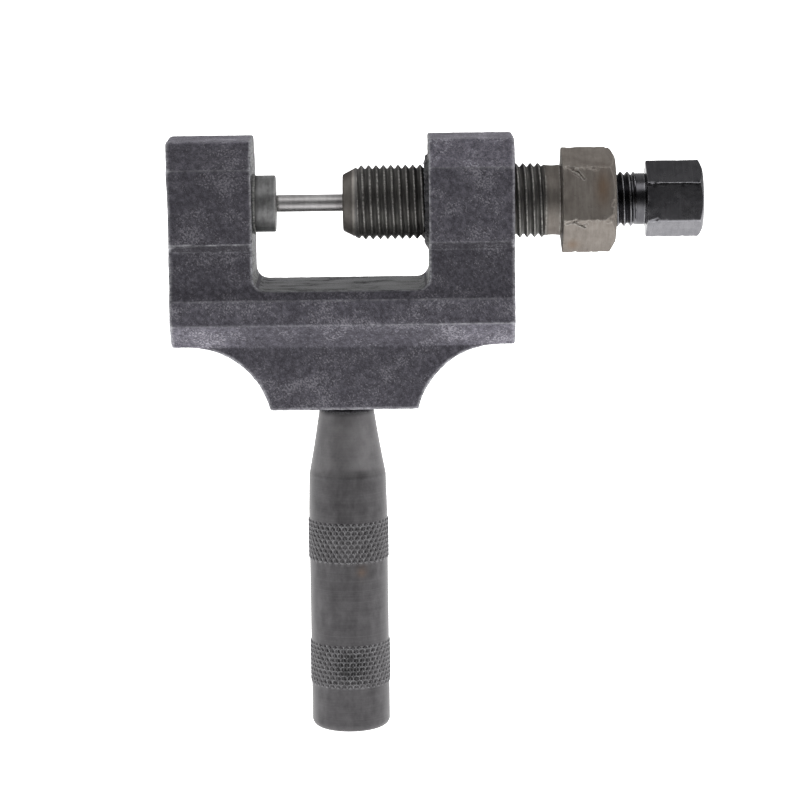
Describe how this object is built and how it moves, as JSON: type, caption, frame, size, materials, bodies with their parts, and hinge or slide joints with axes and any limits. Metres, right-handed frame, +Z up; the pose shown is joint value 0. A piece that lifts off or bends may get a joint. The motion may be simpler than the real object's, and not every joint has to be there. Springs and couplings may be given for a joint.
{
  "type": "chain tool",
  "caption": "Roller-chain breaker: U-shaped steel frame with an anvil bush, a hollow pressure bolt, a push bolt that drives an extractor pin, and a knurled handle screwed into the foot.",
  "frame": {"origin": "centre of the anvil's working face, on the screw axis", "axes": "+X from the anvil towards the bolt heads, -Y the front, +Z up and away from the handle"},
  "size_m": [0.1021, 0.0226, 0.116],
  "materials": {
    "frame_steel": "phosphated, speckled",
    "anvil_steel": "turned, blackened",
    "pressure_bolt_steel": "blackened, worn",
    "push_bolt_steel": "blue-black oxide",
    "pin_steel": "ground and polished",
    "spring_steel": "plain",
    "handle_steel": "black oxide, turned and knurled"
  },
  "bodies": {
    "frame": {"frame": "frame_steel", "anvil": "anvil_steel", "handle": "handle_steel", "handle_stud": "handle_steel"},
    "carriage": {"spring_washer": "spring_steel", "return_spring": "spring_steel"},
    "pressure_bolt": {"pressure_bolt": "pressure_bolt_steel"},
    "punch": {"punch_pin": "pin_steel"},
    "push_bolt": {"push_bolt": "push_bolt_steel"}
  },
  "joints": [
    {"name": "feed_slide", "type": "slide", "parent": "frame", "child": "carriage", "axis": [-1, 0, 0], "range_m": [-0.0164, 0.00875]},
    {"name": "feed_spin", "type": "hinge", "parent": "carriage", "child": "pressure_bolt", "pos_m": [0, 0, 0], "axis": [-1, 0, 0], "range_deg": [-4180, 2230]},
    {"name": "punch_slide", "type": "slide", "parent": "pressure_bolt", "child": "punch", "axis": [-1, 0, 0], "range_m": [-0.0135, 0.0059], "deforming": ["return_spring"]},
    {"name": "punch_spin", "type": "hinge", "parent": "punch", "child": "push_bolt", "pos_m": [0, 0, 0], "axis": [-1, 0, 0], "range_deg": [-3800, 1660]}
  ],
  "couplings": [
    {"joint": "feed_slide", "follows": "feed_spin", "m_per_rad": 0.00022457},
    {"joint": "punch_slide", "follows": "punch_spin", "m_per_rad": 0.00020213}
  ]
}
